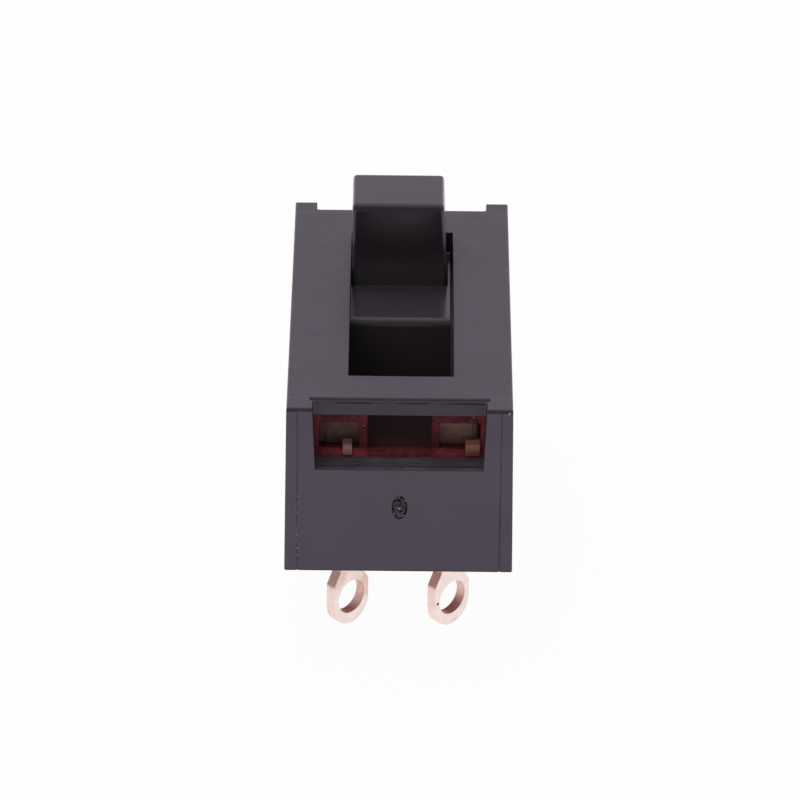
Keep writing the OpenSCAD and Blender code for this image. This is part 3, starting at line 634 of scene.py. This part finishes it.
def coil_rings(place, turns, radius, length):
    """Rings along a coil of round wire with closed end turns; place puts a coil point in the frame."""
    steps, sides = 20, 8
    reach = length - WIRE
    dead = WIRE / reach
    rings = []
    for i in range(turns * steps + 1):
        u = i / steps
        if u < 1:
            rise = u * dead
        elif u > turns - 1:
            rise = 1 - (turns - u) * dead
        else:
            rise = dead + (u - 1) / (turns - 2) * (1 - 2 * dead)
        turn = 2 * math.pi * u
        ring = []
        for k in range(sides):
            round_wire = 2 * math.pi * k / sides
            out = radius + WIRE / 2 * math.cos(round_wire)
            up = WIRE / 2 + reach * rise + WIRE / 2 * math.sin(round_wire)
            ring.append(place(out * math.cos(turn), out * math.sin(turn), up))
        rings.append(ring)
    return rings


def live_spring(node, turns, axis, material):
    """Coil of wire in place of a spring's solid, which it hides."""
    low, high = (Vector(corner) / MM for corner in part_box(node))
    middle = (low + high) / 2
    radius = (high.y - low.y - WIRE) / 2
    if axis == "Z":
        seat, tip = high.z, low.z

        def place(u, v, along):
            return (middle.x + u, middle.y + v, tip + along)

        def on_axis(value):
            return (middle.x * MM, middle.y * MM, value * MM)
    else:
        side = math.copysign(1, middle.x)
        seat, tip = (low.x, high.x) if side > 0 else (high.x, low.x)

        def place(u, v, along):
            return (seat + side * along, middle.y + v, middle.z - side * u)

        def on_axis(value):
            return (value * MM, middle.y * MM, middle.z * MM)
    name = node + "_wire"
    rings = coil_rings(place, turns, radius, abs(tip - seat))
    made = add_object(name, skin_mesh(name, rings), material)
    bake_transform(made)
    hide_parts(node)


def live_springs(material):
    for side in ("left", "right"):
        for end in ("front", "rear"):
            live_spring(f"contact_spring_{end}_{side}", CONTACT_TURNS, "X", material)
    live_spring("detent_spring", DETENT_TURNS, "Z", material)


def white_when_seen(g, lit, white, share, mirrored=1.0):
    """Mixes white in for rays from the camera, gloss and glass, so that the ground looks white."""
    path = g.node("LightPath").outputs
    bounced = g.most(path["Is Glossy Ray"], path["Is Transmission Ray"])
    seen = g.most(path["Is Camera Ray"], g.times(bounced, mirrored))
    mixed = g.node("MixShader", {0: g.times(seen, share), 1: lit, 2: white})
    g.show(mixed.outputs["Shader"])


def make_floor():
    """Plain pale floor that keeps the shadow and looks white."""
    half = FLOOR_HALF
    corners = [(-half, -half, 0), (half, -half, 0), (half, half, 0), (-half, half, 0)]
    mesh = bpy.data.meshes.new("floor")
    mesh.from_pydata(corners, [], [(0, 1, 2, 3)])
    g = material_graph("floor_white")
    tone = g.mix(g.noise(40.0, detail=3.0), grey(0.88), grey(0.92))
    lit = g.node("BsdfDiffuse", {"Color": tone})
    white = g.node("Emission", {"Color": grey(1.0), "Strength": 1.0})
    close = g.ramp(g.axes()[1], WHITE_ENDS, WHITE_FADES)
    white_when_seen(g, lit.outputs["BSDF"], white.outputs["Emission"], FLOOR_WHITE, close)
    add_object("floor", mesh, g.owner)


def make_world():
    """Dim room in front and above, white backdrop behind for what looks at it or mirrors it."""
    world = bpy.data.worlds.new("studio")
    bpy.context.scene.world = world
    g = Graph(world, "World")
    room = g.node("Background", {"Color": tint(ROOM_COLOUR), "Strength": ROOM_LIGHT})
    towards_back = g.axes("Generated")[1]
    gleam = g.times(g.band(towards_back, GLEAM_FRONT, GLEAM_BACK, ROOM_GLEAM, 1.0), BACKDROP_GLEAM)
    level = g.most(g.node("LightPath").outputs["Is Camera Ray"], gleam)
    backdrop = g.node("Background", {"Color": grey(1.0), "Strength": level})
    white_when_seen(g, room.outputs["Background"], backdrop.outputs["Background"], 1.0)


def area_lamp(name, place, aim, side, power):
    """Square lamp at a place in millimetres that shines at another and isn't seen itself."""
    lamp = bpy.data.lights.new(name, "AREA")
    lamp.shape = "SQUARE"
    lamp.size = side * MM
    lamp.energy = power
    made = bpy.data.objects.new(name, lamp)
    bpy.context.scene.collection.objects.link(made)
    made.location = Vector(place) * MM
    towards = Vector(aim) * MM - made.location
    made.rotation_euler = towards.to_track_quat("-Z", "Y").to_euler()
    made.visible_camera = False
    made.visible_glossy = False


def make_camera():
    """Camera of the photograph."""
    pitch, yaw, roll = CAMERA_PITCH, CAMERA_YAW, CAMERA_ROLL
    ahead = Vector((math.sin(yaw) * math.cos(pitch), math.cos(yaw) * math.cos(pitch), -math.sin(pitch)))
    level = Vector((math.cos(yaw), -math.sin(yaw), 0))
    upright = level.cross(ahead)
    right = math.cos(roll) * level + math.sin(roll) * upright
    up = math.cos(roll) * upright - math.sin(roll) * level
    turn = Matrix((right, up, -ahead)).transposed().to_4x4()
    data = bpy.data.cameras.new("camera")
    data.lens = CAMERA_LENS
    data.sensor_width = SENSOR
    data.clip_start = CLIP_START
    made = bpy.data.objects.new("camera", data)
    made.matrix_world = Matrix.Translation(Vector(CAMERA_PLACE) * MM) @ turn
    bpy.context.scene.collection.objects.link(made)
    bpy.context.scene.camera = made


MATERIALS = {
    "housing_black": black_plastic("housing_black", (0.052, 0.035, 0.063), roughness=0.33,
                                   grain=0.004, edge=0.07, marks=mould_marks),
    "slider_black": black_plastic("slider_black", (0.043, 0.028, 0.050), roughness=0.18,
                                  grain=0.002, edge=0.15, marks=knob_painted_light),
    "block_red": red_plastic("block_red"),
    "terminal_copper": copper("terminal_copper"),
    "bridge_brass": plain_metal("bridge_brass", (0.80, 0.58, 0.27), roughness=0.3, grain=0.1),
    "tip_silver": plain_metal("tip_silver", (0.86, 0.86, 0.84), roughness=0.22, grain=0.08),
    "spring_steel": plain_metal("spring_steel", (0.58, 0.58, 0.6), roughness=0.28, grain=0.05),
    "ball_steel": plain_metal("ball_steel", (0.7, 0.7, 0.72), roughness=0.12, grain=0.3),
}
dress(MATERIALS)
neck_skins(MATERIALS["terminal_copper"])
live_springs(MATERIALS["spring_steel"])
gate_stub(torn_plastic("gate_torn"))
make_floor()
make_world()
area_lamp("overhead", place=(-60, 100, 380), aim=(0, 0, 10), side=300, power=0.72)
area_lamp("front", place=(-90, -300, 260), aim=(0, 0, 10), side=250, power=0.2)
area_lamp("table", place=(0, -75, 1), aim=(0, -75, 20), side=110, power=0.033)
make_camera()
bpy.context.scene.view_settings.view_transform = "Standard"
